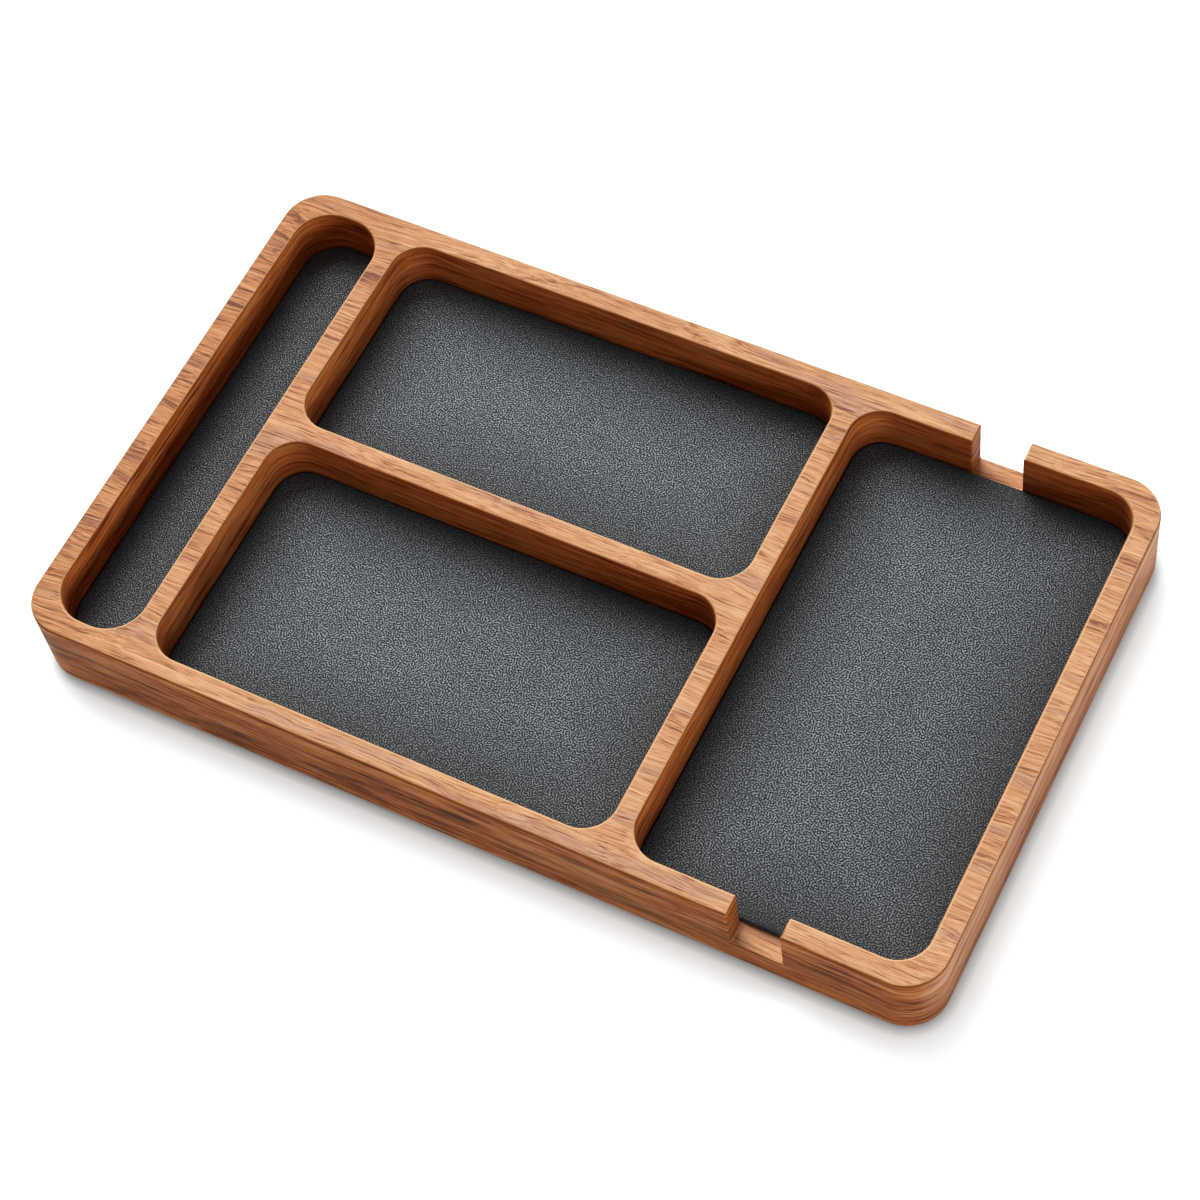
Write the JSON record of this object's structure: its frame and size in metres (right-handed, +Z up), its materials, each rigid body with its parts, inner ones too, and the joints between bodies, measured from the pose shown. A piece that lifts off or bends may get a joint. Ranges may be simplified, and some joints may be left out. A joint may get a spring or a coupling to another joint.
{
  "type": "desk organizer tray",
  "caption": "Low solid-wood desk tray with a long pen slot, stacked middle pockets and a phone pocket with cable notches, lined with grained leather.",
  "frame": {"origin": "on the surface that the feet stand on, under the middle of the tray", "axes": "+X to the right along the tray's length and its grain, +Y from the front to the back, +Z up"},
  "size_m": [0.32, 0.19, 0.032],
  "materials": {
    "walnut": "sanded solid walnut, thin satin oil, fine dark pores along the length",
    "leather": "matte slate-grey leather with a fine pebble grain and a black cut edge",
    "liner_board": "dyed-through black fibreboard, cut edge",
    "bumper_rubber": "soft matte black rubber"
  },
  "bodies": {
    "root": {"tray_body": "walnut", "pen_board": "liner_board", "rear_board": "liner_board", "front_board": "liner_board", "phone_board": "liner_board", "pen_leather": "leather", "rear_leather": "leather", "front_leather": "leather", "phone_leather": "leather", "foot_front_left": "bumper_rubber", "foot_front_right": "bumper_rubber", "foot_back_left": "bumper_rubber", "foot_back_right": "bumper_rubber"}
  },
  "joints": []
}
